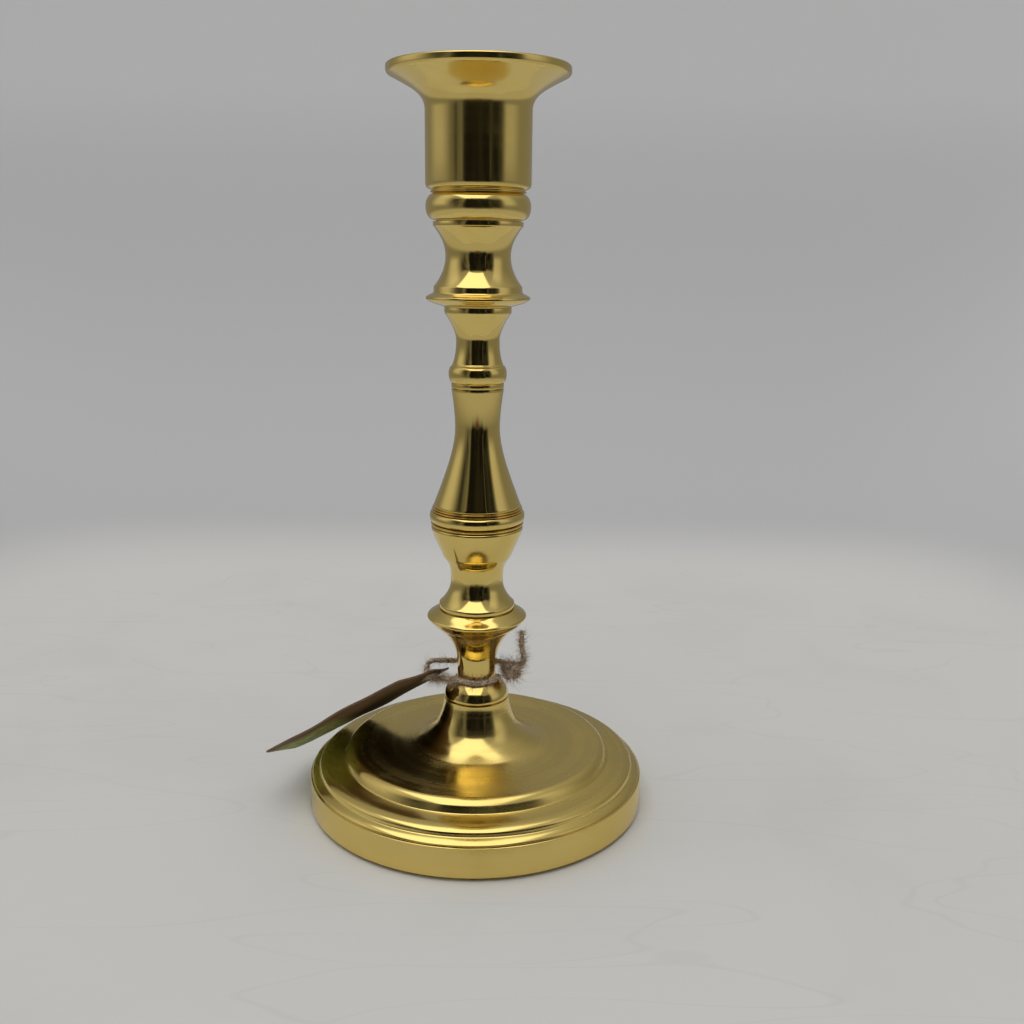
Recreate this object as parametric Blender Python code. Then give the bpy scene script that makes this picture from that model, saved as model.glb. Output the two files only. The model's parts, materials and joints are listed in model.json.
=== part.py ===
"""A turned brass candlestick, clamped together by a rod, with a card tag tied round its neck.

Frame: +Z up, origin at the centre of the circle that the base stands on, front towards -Y.
All the sizes below are in millimetres; MM turns them into Blender's metres.
Every turned section is a profile of (radius, height) points, spun about Z.
"""

import math

import bmesh
import bpy
from mathutils import Matrix, Vector

MM = 0.001

# ---- driving dimensions ----
HEIGHT = 190.0            # table to the top of the rim
SEAM = 0.3                # clearance where two sections meet face to face
BORE_R = 2.8              # bore of every section for the tie rod
ROD_R = 2.5               # M5 tie rod

BASE_R = 45.35            # base where it stands
BAND_TOP_R, BAND_TOP = 45.1, 8.85
BASE_TOP_R, BASE_TOP = 8.72, 29.15
CUP_R = 13.03             # outside of the candle cup
SOCKET_R = 11.15          # takes a 22 mm (7/8 in) candle
SOCKET_FLOOR = 166.0
RIM_R = 22.3
RIM_EDGE = 1.6            # height of the rim's upright edge

# heights of the seams between the stacked sections, from the top down
CUP_SEAM = 154.1
KNOP_SEAM = 133.45
THROAT_SEAM = 113.0
BALUSTER_SEAM = 77.1
BULB_SEAM = 54.5
NECK_SEAM = 34.15
COLLAR_SEAM = 29.3

ROUND = 48                # steps round the base and the cup
SLIM_ROUND = 36           # steps round the slimmer sections
SMALL_ROUND = 24          # steps round the rod, nut and washers

# the tag: where its tied end is, the way it points and the way its width runs
TAG_END = Vector((-10.0, 0.3, 36.8))
TAG_ALONG = Vector((-0.8584, 0.0555, -0.5099)).normalized()
TAG_ACROSS_HINT = Vector((0.25, 0.911, -0.325))
TAG_LENGTH, TAG_WIDTH, TAG_THICK = 49.2, 28.5, 0.7
TAG_HOLE_R, TAG_HOLE_AT = 2.5, 4.0
TAG_SAG = 0.8             # how far its middle lies below its long edges
TAG_CLIP = 7.0            # corners cut off at the tied end

TWINE_R = 0.65
TWINE_TURN_R = 2.6        # bend where the twine goes through the tag
TWINE_STEP = 1.7          # spacing of the points along the twine's tube
KNOT_AT = Vector((9.4, -1.5, 36.7))
KNOT_SIZE = Vector((2.4, 2.0, 2.1))


# ---- curves that a turner would cut; each gives points from its first end to its last ----
def waist(r_end, z_end, r_waist, z_waist, steps, power=2.0):
    """From an end to the slimmest point: r = waist + (end - waist) * u ** power."""
    points = []
    for i in range(steps + 1):
        u = 1 - i / steps
        points.append((r_waist + (r_end - r_waist) * u ** power, z_waist + (z_end - z_waist) * u))
    return points


def swell(r_end, z_end, r_waist, z_waist, steps, power=2.0):
    """The same curve, from the slimmest point to an end."""
    return waist(r_end, z_end, r_waist, z_waist, steps, power)[::-1]


def flare(r_waist, z_waist, z_end, slope, softness, steps):
    """A hyperbola that leaves the waist upright and opens to a straight slope."""
    points = []
    for i in range(steps + 1):
        drop = (z_waist - z_end) * i / steps
        points.append((r_waist + math.hypot(softness, slope * drop) - softness, z_waist - drop))
    return points


def bead(r_edge, r_max, z_top, z_bottom, steps):
    """Half an ellipse that stands out from r_edge to r_max."""
    middle, half = (z_top + z_bottom) / 2, (z_top - z_bottom) / 2
    points = []
    for i in range(steps + 1):
        angle = math.pi * i / steps
        points.append((r_edge + (r_max - r_edge) * math.sin(angle), middle + half * math.cos(angle)))
    return points


def bend(start, handle_a, handle_b, end, steps):
    """A cubic Bezier curve in the (radius, height) plane."""
    points = []
    for i in range(steps + 1):
        t = i / steps
        a, b, c, d = (1 - t) ** 3, 3 * t * (1 - t) ** 2, 3 * t * t * (1 - t), t ** 3
        points.append((a * start[0] + b * handle_a[0] + c * handle_b[0] + d * end[0],
                       a * start[1] + b * handle_a[1] + c * handle_b[1] + d * end[1]))
    return points


def without_repeats(points):
    kept = []
    for point in points:
        if not kept or math.dist(point, kept[-1]) > 1e-4:
            kept.append(point)
    return kept


# ---- materials ----
def material(name, colour, roughness, metallic):
    made = bpy.data.materials.new(name)
    made.use_nodes = True
    shader = made.node_tree.nodes["Principled BSDF"]
    shader.inputs["Base Color"].default_value = (*colour, 1.0)
    shader.inputs["Roughness"].default_value = roughness
    shader.inputs["Metallic"].default_value = metallic
    return made


def make_materials():
    return {
        "brass": material("polished_brass", (0.72, 0.53, 0.2), 0.12, 1.0),
        "steel": material("plated_steel", (0.58, 0.57, 0.54), 0.35, 1.0),
        "card": material("kraft_card", (0.3, 0.19, 0.11), 0.85, 0.0),
        "jute": material("jute_twine", (0.36, 0.27, 0.19), 0.9, 0.0),
    }


# ---- building ----
def add_object(name, mesh, finish):
    made = bpy.data.objects.new(name, mesh)
    bpy.context.scene.collection.objects.link(made)
    mesh.materials.append(finish)
    return made


def finish_mesh(name, work, finish, smooth_angle=32):
    bmesh.ops.recalc_face_normals(work, faces=work.faces[:])
    mesh = bpy.data.meshes.new(name)
    work.to_mesh(mesh)
    work.free()
    mesh.shade_smooth()
    mesh.set_sharp_from_angle(angle=math.radians(smooth_angle))
    return add_object(name, mesh, finish)


def turned(name, profile, finish, steps, closed=True):
    """Spins a profile about Z. A closed one goes round a bore; an open one starts and ends on the axis."""
    points = without_repeats(profile)
    if closed and math.dist(points[0], points[-1]) < 1e-4:
        points.pop()
    work = bmesh.new()
    verts = [work.verts.new((r * MM, 0, z * MM)) for r, z in points]
    edges = [work.edges.new(pair) for pair in zip(verts, verts[1:])]
    if closed:
        edges.append(work.edges.new((verts[-1], verts[0])))
    bmesh.ops.spin(work, geom=verts + edges, cent=(0, 0, 0), axis=(0, 0, 1),
                   angle=math.tau, steps=steps, use_merge=True)
    bmesh.ops.remove_doubles(work, verts=work.verts[:], dist=1e-6)
    bmesh.ops.dissolve_degenerate(work, edges=work.edges[:], dist=1e-7)
    return finish_mesh(name, work, finish)


def section(name, outside, finish, steps):
    """A stem section: its outside from the top down, and the rod's bore back up."""
    top, bottom = outside[0][1], outside[-1][1]
    return turned(name, outside + [(BORE_R, bottom), (BORE_R, top)], finish, steps)


def make_candle_cup(finish):
    under_rim = HEIGHT - RIM_EDGE
    foot = CUP_SEAM + SEAM / 2
    inside = [(0, SOCKET_FLOOR), (SOCKET_R, SOCKET_FLOOR), (SOCKET_R, 182.6)]
    pan = bend((SOCKET_R, 182.6), (11.3, 184.2), (13.6, 185.4), (20.8, 189.6), 6)
    rim = [(21.5, HEIGHT), (RIM_R - 0.3, HEIGHT), (RIM_R, HEIGHT - 0.3), (RIM_R, under_rim)]
    flare_under = bend((RIM_R - 0.3, under_rim - 0.5), (15.9, 184.8), (13.1, 183.6), (CUP_R, 179.8), 8)
    step = [(CUP_R, 162.7), (12.85, 162.1), (12.4, 161.7), (11.65, 161.4), (11.6, 161.15),
            (11.75, 161.0), (11.75, 160.85), (11.3, 160.65)]
    torus = bead(11.1, 13.0, 160.55, foot + 0.1, 9)
    hole = [(11.1, foot), (BORE_R, foot), (BORE_R, 162.8), (0, 162.8)]
    profile = inside + pan + rim + flare_under + step + torus + hole
    return turned("candle_cup", profile, finish, ROUND, closed=False)


def make_upper_knop(finish):
    top, foot = CUP_SEAM - SEAM / 2, KNOP_SEAM + SEAM / 2
    profile = [(11.2, top), (11.2, 152.85)]
    profile += waist(11.0, 152.7, 8.13, 145.7, 7)
    profile += swell(10.8, 138.6, 8.13, 145.7, 7)
    profile += [(11.05, 138.3), (11.15, 137.0), (11.35, 136.65), (12.3, 136.2), (13.0, 135.85), (13.1, 135.6)]
    profile += bend((13.1, 135.25), (12.5, 134.6), (11.2, 134.1), (9.2, foot), 4)
    return section("upper_knop", profile, finish, SLIM_ROUND)


def make_throat(finish):
    top, foot = KNOP_SEAM - SEAM / 2, THROAT_SEAM + SEAM / 2
    profile = [(8.45, top), (8.45, 131.95)]
    profile += waist(8.3, 131.65, 5.5, 125.2, 6, 1.6)
    profile += swell(6.3, 120.5, 5.5, 125.2, 4, 2.6)
    profile += [(6.42, 120.3), (6.42, 118.8)]
    profile += bead(6.5, 7.42, 118.65, 114.4, 7)
    profile += [(6.72, 114.35), (6.72, foot)]
    return section("throat", profile, finish, SLIM_ROUND)


def make_baluster(finish):
    top, foot = THROAT_SEAM - SEAM / 2, BALUSTER_SEAM + SEAM / 2
    profile = waist(6.72, top, 5.75, 103.2, 5, 1.55)
    profile += flare(5.75, 103.2, 82.8, 0.432, 4.28, 10)
    profile += [(11.4, 82.4), (11.4, 81.3)]
    profile += bead(11.55, 12.42, 81.15, 77.9, 6)
    profile += [(11.75, 77.8), (11.75, foot)]
    return section("baluster", profile, finish, SLIM_ROUND)


def make_lower_bulb(finish):
    top, foot = BALUSTER_SEAM - SEAM / 2, BULB_SEAM + SEAM / 2
    profile = [(11.75, top), (11.95, 76.6)]
    profile += bend((11.95, 76.2), (11.4, 74.2), (9.95, 71.1), (8.95, 68.7), 5)
    profile += bend((8.95, 68.7), (7.85, 67.0), (6.95, 66.4), (6.9, 62.6), 5)
    profile += swell(9.75, 55.95, 6.9, 62.6, 5, 2.3)
    profile += [(9.95, 55.6), (10.0, foot)]
    return section("lower_bulb", profile, finish, SLIM_ROUND)


def make_saucer_neck(finish):
    top, foot = BULB_SEAM - SEAM / 2, NECK_SEAM + SEAM / 2
    profile = [(10.35, top), (11.1, 53.75), (12.2, 52.95), (13.0, 52.5), (13.25, 52.1), (13.1, 51.65)]
    profile += bend((12.75, 51.4), (11.9, 50.2), (10.9, 49.3), (9.7, 48.7), 4)
    profile += waist(9.5, 48.3, 5.2, 38.0, 8, 2.4)
    profile += [(5.12, foot)]
    return section("saucer_neck", profile, finish, SLIM_ROUND)


def make_collar(finish):
    top, foot = NECK_SEAM - SEAM / 2, COLLAR_SEAM + SEAM / 2
    profile = [(6.2, top)] + bend((6.2, top), (7.3, 33.0), (8.65, 31.6), (8.7, foot), 6)
    return section("collar", profile, finish, SLIM_ROUND)


def make_base(finish):
    profile = bend((BASE_TOP_R, BASE_TOP), (8.75, 26.5), (10.25, 22.8), (11.2, 21.3), 5)
    profile += bend((11.2, 21.3), (12.6, 19.15), (14.9, 17.8), (17.0, 16.7), 3)
    profile += bend((17.0, 16.7), (18.6, 15.9), (27.0, 16.1), (33.4, 15.85), 4)
    profile += bend((33.4, 15.85), (34.2, 15.7), (34.9, 15.1), (35.3, 14.45), 3)
    profile += [(35.9, 13.2), (36.3, 12.75)]
    profile += bend((39.8, 12.5), (41.2, 12.3), (42.1, 12.0), (42.5, 11.4), 3) + [(42.75, 10.45)]
    profile += [(43.1, 10.2), (44.3, 9.65), (BAND_TOP_R - 0.1, 9.0), (BAND_TOP_R, BAND_TOP)]
    profile += [(BASE_R, 0.6), (BASE_R - 0.5, 0)]
    hollow = [(41.0, 0), (41.0, 6.9), (40.0, 8.3), (36.0, 9.2), (33.5, 11.0)]
    hollow += bend((33.5, 11.0), (26.0, 13.4), (18.0, 14.9), (11.5, 15.2), 4)
    boss = [(9.4, 14.3), (9.4, BOSS_FACE), (BORE_R, BOSS_FACE), (BORE_R, BASE_TOP)]
    return turned("base", profile + hollow + boss, finish, ROUND)


# ---- the clamp inside: rod, washers and nut ----
BOSS_FACE = 11.5          # the boss under the base that the washer bears on
WASHER_R, WASHER_THICK = 6.0, 1.0
SPRING_WASHER_R, SPRING_WASHER_THICK = 4.6, 1.3
NUT_ACROSS_FLATS, NUT_THICK = 8.0, 4.0
ROD_FOOT, ROD_TOP = 2.6, 162.4


def make_rod(finish):
    tip = 0.5
    profile = [(0, ROD_TOP), (ROD_R - tip, ROD_TOP), (ROD_R, ROD_TOP - tip), (ROD_R, ROD_FOOT + tip),
               (ROD_R - tip, ROD_FOOT), (0, ROD_FOOT)]
    return turned("tie_rod", profile, finish, SMALL_ROUND, closed=False)


def make_washer(finish):
    top = BOSS_FACE - SEAM
    foot = top - WASHER_THICK
    profile = [(WASHER_R, top), (WASHER_R, foot), (BORE_R, foot), (BORE_R, top)]
    return turned("flat_washer", profile, finish, SMALL_ROUND)


def make_spring_washer(finish):
    """A ring with a slit cut through it."""
    top = BOSS_FACE - 2 * SEAM - WASHER_THICK
    foot = top - SPRING_WASHER_THICK
    slit = math.radians(12)
    work = bmesh.new()
    corners = [(SPRING_WASHER_R, top), (SPRING_WASHER_R, foot), (BORE_R, foot), (BORE_R, top)]
    ring = [work.verts.new((r * MM, 0, z * MM)) for r, z in corners]
    face = work.faces.new(ring)
    bmesh.ops.spin(work, geom=[face], cent=(0, 0, 0), axis=(0, 0, 1), angle=math.tau - slit,
                   steps=SMALL_ROUND)
    return finish_mesh("spring_washer", work, finish)


def make_nut(finish):
    """A hexagon with a chamfer at each end and the rod's bore through it."""
    top = BOSS_FACE - 3 * SEAM - WASHER_THICK - SPRING_WASHER_THICK
    foot = top - NUT_THICK
    corner_r = NUT_ACROSS_FLATS / 2 / math.cos(math.pi / 6)
    work = bmesh.new()
    bmesh.ops.create_cone(work, cap_ends=True, segments=6, radius1=corner_r * MM, radius2=corner_r * MM,
                          depth=NUT_THICK * MM, matrix=Matrix.Translation((0, 0, (top + foot) / 2 * MM)))
    nut = finish_mesh("hex_nut", work, finish)
    cone = [(0, top + 1), (corner_r - 1.9, top + 1), (corner_r + 0.45, top - 0.6),
            (corner_r + 0.45, foot + 0.6), (corner_r - 1.9, foot - 1), (0, foot - 1)]
    hole = [(0, top + 2), (BORE_R, top + 2), (BORE_R, foot - 2), (0, foot - 2)]
    cut_with(nut, turned("nut_cone_cutter", cone, finish, SMALL_ROUND, closed=False), "INTERSECT")
    cut_with(nut, turned("nut_hole_cutter", hole, finish, SMALL_ROUND, closed=False), "DIFFERENCE")
    return nut


def cut_with(target, cutter, operation):
    cutter.hide_render = True
    cutter.display_type = "WIRE"
    boolean = target.modifiers.new(cutter.name, "BOOLEAN")
    boolean.operation = operation
    boolean.object = cutter
    return boolean


# ---- the tag and its twine ----
def tag_frame():
    """The tag's own directions: along its length, across its width, and out of its upper face."""
    along = TAG_ALONG
    across = (TAG_ACROSS_HINT - along * TAG_ACROSS_HINT.dot(along)).normalized()
    return along, across, across.cross(along)


def make_tag_body():
    """An empty on the tag's swing axis, at the middle of its hole."""
    along, across, upward = tag_frame()
    pivot = bpy.data.objects.new("tag_swing_axis", None)
    bpy.context.scene.collection.objects.link(pivot)
    axes = Matrix((along, across, upward)).transposed().to_4x4()
    pivot.matrix_world = Matrix.Translation((TAG_END + along * TAG_HOLE_AT) * MM) @ axes
    return pivot


def make_tag(finish, pivot):
    """A card that sags between its long edges, with clipped corners and a punched hole, in the pivot's own directions."""
    lengths, widths = 11, 6
    work = bmesh.new()
    rows = []
    for i in range(lengths + 1):
        s = TAG_LENGTH * i / lengths
        half = min(TAG_WIDTH / 2, TAG_WIDTH / 2 - TAG_CLIP + s)
        row = []
        for j in range(widths + 1):
            t = half * (2 * j / widths - 1)
            lift = TAG_SAG * ((t / (TAG_WIDTH / 2)) ** 2 - 1)
            row.append(work.verts.new(((s - TAG_HOLE_AT) * MM, t * MM, lift * MM)))
        rows.append(row)
    for near, far in zip(rows, rows[1:]):
        for j in range(widths):
            work.faces.new((near[j], far[j], far[j + 1], near[j + 1]))
    tag = finish_mesh("hang_tag", work, finish)
    thickness = tag.modifiers.new("thickness", "SOLIDIFY")
    thickness.thickness = TAG_THICK * MM
    thickness.offset = 0
    hole = [(0, 3), (TAG_HOLE_R, 3), (TAG_HOLE_R, -3), (0, -3)]
    punch = turned("tag_punch", hole, finish, SMALL_ROUND, closed=False)
    cut_with(tag, punch, "DIFFERENCE")
    for piece in (tag, punch):
        piece.parent = pivot
    return tag


def twine_route():
    """From the knot round the front of the neck, through the tag, behind the neck and past the knot."""
    along, _, upward = tag_frame()
    middle = TAG_END + along * (TAG_HOLE_AT - TWINE_TURN_R)
    turn = []
    for step in range(5):
        angle = math.radians(-90 + 45 * step)
        turn.append(middle + (along * math.cos(angle) + upward * math.sin(angle)) * TWINE_TURN_R)
    front = [Vector((6.2, -2.9, 35.8)), Vector((4.2, -4.8, 35.1)), Vector((0.0, -6.4, 34.9)),
             Vector((-4.6, -4.7, 35.0)), Vector((-7.7, -2.5, 34.4))]
    back = [Vector((-9.2, 2.5, 37.9)), Vector((-5.6, 4.4, 37.2)), Vector((-0.6, 6.4, 37.1)),
            Vector((4.6, 5.4, 37.0)), Vector((8.8, 3.0, 36.9))]
    tail = [Vector((12.3, 0.9, 37.9)), Vector((12.7, -1.1, 40.6)), Vector((12.1, -2.0, 44.4)),
            Vector((12.2, -2.1, 48.2))]
    return front + turn + back + tail


def along_curve(route, spacing):
    """Points at an even spacing on the smooth (Catmull-Rom) curve through a route."""
    ends = [route[0] * 2 - route[1]] + route + [route[-1] * 2 - route[-2]]
    fine = []
    for a, b, c, d in zip(ends, ends[1:], ends[2:], ends[3:]):
        for i in range(16):
            t = i / 16
            fine.append(0.5 * (2 * b + (c - a) * t + (2 * a - 5 * b + 4 * c - d) * t * t
                               + (3 * b - a - 3 * c + d) * t ** 3))
    fine.append(route[-1])
    length = sum((b - a).length for a, b in zip(fine, fine[1:]))
    count = max(2, round(length / spacing))
    points, walked, wanted = [fine[0]], 0.0, length / count
    for a, b in zip(fine, fine[1:]):
        reach = (b - a).length
        while walked + reach >= wanted and len(points) < count:
            points.append(a.lerp(b, (wanted - walked) / reach))
            wanted += length / count
        walked += reach
    return points + [fine[-1]]


def make_twine(name, route, finish):
    curve = bpy.data.curves.new(name, "CURVE")
    curve.dimensions = "3D"
    curve.bevel_depth = TWINE_R * MM
    curve.bevel_resolution = 2
    curve.use_fill_caps = True
    points = along_curve(route, TWINE_STEP)
    spline = curve.splines.new("POLY")
    spline.points.add(len(points) - 1)
    for spline_point, place in zip(spline.points, points):
        spline_point.co = (*(place * MM), 1)
    return add_object(name, curve, finish)


def make_knot(finish):
    work = bmesh.new()
    bmesh.ops.create_icosphere(work, subdivisions=2, radius=1.0)
    bmesh.ops.scale(work, vec=KNOT_SIZE * MM, verts=work.verts[:])
    bmesh.ops.translate(work, vec=KNOT_AT * MM, verts=work.verts[:])
    return finish_mesh("twine_knot", work, finish, 60)


def main():
    for old in list(bpy.data.objects):
        bpy.data.objects.remove(old, do_unlink=True)
    finishes = make_materials()
    brass, steel = finishes["brass"], finishes["steel"]
    for make_section in (make_candle_cup, make_upper_knop, make_throat, make_baluster, make_lower_bulb,
                         make_saucer_neck, make_collar, make_base):
        make_section(brass)
    for make_fastener in (make_rod, make_washer, make_spring_washer, make_nut):
        make_fastener(steel)
    make_tag(finishes["card"], make_tag_body())
    make_twine("twine", twine_route(), finishes["jute"])
    make_knot(finishes["jute"])


main()
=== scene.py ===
"""The looks of a turned brass candlestick with a curled card tag tied round its neck.

Run as a script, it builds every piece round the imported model; as an add-on's file it lists the same
steps in a panel. Shapes are worked out in millimetres and put into their meshes in metres.
Frame: +Z up, the base stands on z = 0, and the front of the stick is towards -Y.
"""

import json
import math

import bpy
import numpy as np
from bpy.props import FloatProperty, FloatVectorProperty, IntProperty, PointerProperty
from mathutils import Matrix, Vector


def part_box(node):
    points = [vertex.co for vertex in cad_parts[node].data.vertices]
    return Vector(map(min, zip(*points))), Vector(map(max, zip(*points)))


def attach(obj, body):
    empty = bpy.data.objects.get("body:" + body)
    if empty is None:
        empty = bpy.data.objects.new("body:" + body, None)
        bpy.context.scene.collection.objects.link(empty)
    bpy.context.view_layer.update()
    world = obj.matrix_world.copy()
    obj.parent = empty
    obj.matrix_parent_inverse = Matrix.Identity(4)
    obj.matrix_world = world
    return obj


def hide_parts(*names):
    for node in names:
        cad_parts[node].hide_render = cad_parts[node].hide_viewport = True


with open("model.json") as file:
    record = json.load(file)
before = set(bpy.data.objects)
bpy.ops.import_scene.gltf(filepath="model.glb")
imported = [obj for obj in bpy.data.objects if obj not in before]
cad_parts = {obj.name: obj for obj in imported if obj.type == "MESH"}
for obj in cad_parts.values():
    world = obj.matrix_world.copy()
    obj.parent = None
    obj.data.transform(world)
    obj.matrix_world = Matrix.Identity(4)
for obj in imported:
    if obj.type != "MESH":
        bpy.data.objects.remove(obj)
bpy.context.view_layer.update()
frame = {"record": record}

bl_info = {
    "name": "Turned Brass Candlestick",
    "version": (1, 0, 0),
    "blender": (4, 5, 0),
    "location": "View3D > Sidebar > Candlestick",
    "description": "Builds a polished brass candlestick with a tied card tag, and a plain studio round it",
    "category": "Add Mesh",
}

MM = 0.001
MM_PER_METRE = 1000.0
DEGREES = 180 / math.pi


def span(box):
    """A box's top and bottom, in millimetres."""
    return box[1][2] / MM, box[0][2] / MM


# heights of the joints between the stacked sections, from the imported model, in millimetres
TOP, CUP_FOOT = span(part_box("candle_cup"))
KNOP_TOP, KNOP_FOOT = span(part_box("upper_knop"))
THROAT_TOP, THROAT_FOOT = span(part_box("throat"))
BALUSTER_TOP, BALUSTER_FOOT = span(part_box("baluster"))
BULB_TOP, BULB_FOOT = span(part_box("lower_bulb"))
NECK_TOP, NECK_FOOT = span(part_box("saucer_neck"))
COLLAR_TOP, COLLAR_FOOT = span(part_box("collar"))
BASE_TOP = span(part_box("base"))[0]
RIM_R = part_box("candle_cup")[1][0] / MM
BASE_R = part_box("base")[1][0] / MM
# the rod's bore, the step that fills each joint, the candle's socket and the cup's straight wall
BORE_R, JOINT, SOCKET_R, CUP_R = 2.8, 0.28, 11.15, 13.03

# the studio, in metres: where the flat floor ends, the curve that leads up to the wall, and the wall's top
FLOOR_R, COVE_R, WALL_TOP = 0.175, 0.2, 1.4
CAMERA_AT, CAMERA_PITCH, CAMERA_ROLL = (9.122, -280.984, 148.185), 13.5567, 0.65784

# the tag: the middle of its tied end, the way it points and the way its width runs
TAG_END = np.array((-10.0, 0.3, 36.8))
TAG_ALONG = np.array((-0.8584, 0.0555, -0.5099))
TAG_ACROSS_HINT = np.array((0.25, 0.911, -0.325))
TAG_THICK, TAG_CLIP, TAG_SAG, HOLE_AT, HOLE_R = 0.5, 7.0, 0.8, 4.0, 2.5

# the twine: its turn through the tag's hole, its points' spacing, and its points at the tag and in the tail
TWINE_TURN_R, TWINE_STEP = 2.6, 0.35
TWINE_AT_TAG, TWINE_TAIL = slice(38, 66), slice(-36, None)


# ---- settings

def colour_setting(name, description, default):
    """A colour that the panel shows."""
    return FloatVectorProperty(
        name=name, description=description, subtype="COLOR", size=3, min=0, max=1, default=default)


def share_setting(name, description, default):
    """A share from 0 to 1."""
    return FloatProperty(name=name, description=description, subtype="FACTOR", min=0, max=1, default=default)


def length_setting(name, description, least, most, default):
    """A length in metres."""
    return FloatProperty(name=name, description=description, unit="LENGTH", min=least, max=most, default=default)


def light_setting(name, description, default, most=10):
    """A brightness, where 1 is plain white."""
    return FloatProperty(name=name, description=description, min=0, max=most, default=default)


class BrassSettings(bpy.types.PropertyGroup):
    """Colours and finish of the brass."""

    gold: colour_setting("Brass colour", "Reflection colour of clean brass", (0.775, 0.59, 0.192))
    warm: colour_setting("Tarnish colour", "Reflection colour of aged brass", (0.72, 0.53, 0.145))
    polish: share_setting("Polish", "Roughness of the polished stem", 0.055)
    satin: share_setting("Satin", "Roughness of the wide faces of the base", 0.17)
    steps: IntProperty(
        name="Steps round", description="Faces round each turned section", min=24, max=360, default=216)


class TieSettings(bpy.types.PropertyGroup):
    """Sizes and colours of the twine and the tag."""

    twine_diameter: length_setting("Twine diameter", "Thickness of the jute twine", 0.0005, 0.004, 0.0013)
    jute: colour_setting("Jute colour", "Colour of the jute fibres", (0.7, 0.47, 0.36))
    tag_length: length_setting("Tag length", "Length of the card tag", 0.02, 0.1, 0.0492)
    tag_width: length_setting("Tag width", "Width of the card tag", 0.01, 0.06, 0.0285)
    tag_top: colour_setting("Tag upper face", "Colour of the face that looks up", (0.24, 0.15, 0.09))
    tag_under: colour_setting("Tag lower face", "Colour of the face that looks down", (0.42, 0.5, 0.2))


class StudioSettings(bpy.types.PropertyGroup):
    """Floor, backdrop and light."""

    floor: colour_setting("Floor colour", "Colour of the pale floor", (0.76, 0.757, 0.735))
    # painted shade: the backdrop colour is darker than the floor's to stand for the dimmer light on the wall
    backdrop: colour_setting("Backdrop colour", "Colour of the backdrop high up", (0.58, 0.58, 0.588))
    backdrop_glow: light_setting("Backdrop glow", "Light added to the backdrop per metre of height", 0.86, 3)
    wall_light: light_setting("Wall light", "Brightness of the tent's walls behind the stick", 0.24)
    left_cloth: light_setting("Left cloth", "Extra brightness of the cloth on the left", 0.35)
    right_cloth: light_setting("Right cloth", "Extra brightness of the cloth on the right", 0.3)
    ceiling_light: light_setting("Ceiling light", "Extra brightness of the tent's top", 0.16)
    lamp_light: light_setting("Lamp light", "Brightness of the lamp panel above the opening", 1.6, 40)
    far_floor: light_setting("Far floor light", "Brightness of the floor beyond the board", 0.455)
    lens: FloatProperty(
        name="Lens", description="Focal length of the camera", unit="CAMERA", min=10, max=200, default=38.757)


# ---- curves of a profile, in millimetres

def waist(r_end, z_end, r_waist, z_waist, steps, power=2.0):
    """From an end to the slimmest point: r = waist + (end - waist) * u ** power, u from 1 to 0."""
    u = np.linspace(1, 0, steps + 1)
    return np.column_stack((r_waist + (r_end - r_waist) * u ** power, z_waist + (z_end - z_waist) * u))


def swell(r_end, z_end, r_waist, z_waist, steps, power=2.0):
    """The same curve, from the slimmest point to an end."""
    return waist(r_end, z_end, r_waist, z_waist, steps, power)[::-1]


def flare(r_waist, z_waist, z_end, slope, softness, steps):
    """A hyperbola: r = waist + sqrt(softness ** 2 + (slope * drop) ** 2) - softness."""
    drop = np.linspace(0, z_waist - z_end, steps + 1)
    return np.column_stack((r_waist + np.hypot(softness, slope * drop) - softness, z_waist - drop))


def bead(r_edge, r_max, z_top, z_bottom, steps):
    """Half an ellipse that stands out from r_edge to r_max, angle from 0 at the top to pi below."""
    angle = np.linspace(0, math.pi, steps + 1)
    middle, half = (z_top + z_bottom) / 2, (z_top - z_bottom) / 2
    return np.column_stack((r_edge + (r_max - r_edge) * np.sin(angle), middle + half * np.cos(angle)))


def bend(start, handle_a, handle_b, end, steps):
    """A cubic Bezier curve: the four points weighted by the Bernstein polynomials of t."""
    t = np.linspace(0, 1, steps + 1)[:, None]
    corners = [np.array(corner, dtype=float) for corner in (start, handle_a, handle_b, end)]
    return ((1 - t) ** 3 * corners[0] + 3 * t * (1 - t) ** 2 * corners[1]
            + 3 * t * t * (1 - t) * corners[2] + t ** 3 * corners[3])


def joined(*parts):
    """A profile from its parts: curves, and lists of plain points joined by straight cuts."""
    return np.vstack([np.array(part, dtype=float) for part in parts])


def eased(profile, radius=0.14, least_turn=20):
    """Every corner sharper than least_turn degrees becomes a small three-point round of this radius."""
    before = np.roll(profile, 1, axis=0)
    after = np.roll(profile, -1, axis=0)
    arriving, leaving = profile - before, after - profile
    length_in, length_out = np.linalg.norm(arriving, axis=1), np.linalg.norm(leaving, axis=1)
    heading_in = arriving / np.maximum(length_in, 1e-9)[:, None]
    heading_out = leaving / np.maximum(length_out, 1e-9)[:, None]
    turn = np.degrees(np.arccos(np.clip((heading_in * heading_out).sum(axis=1), -1, 1)))
    reach = np.minimum(radius, 0.4 * np.minimum(length_in, length_out))
    sharp = (turn > least_turn) & (profile[:, 0] > 1e-6) & (reach > 0.01)
    cut_in = profile - heading_in * reach[:, None]
    cut_out = profile + heading_out * reach[:, None]
    crown = (cut_in + cut_out + 2 * profile) / 4
    pieces = np.where(sharp[:, None, None], np.stack((cut_in, crown, cut_out), axis=1), profile[:, None, :])
    keep = np.column_stack((np.ones(len(profile), bool), sharp, sharp))
    return pieces[keep]


# ---- meshes from arrays

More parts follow.
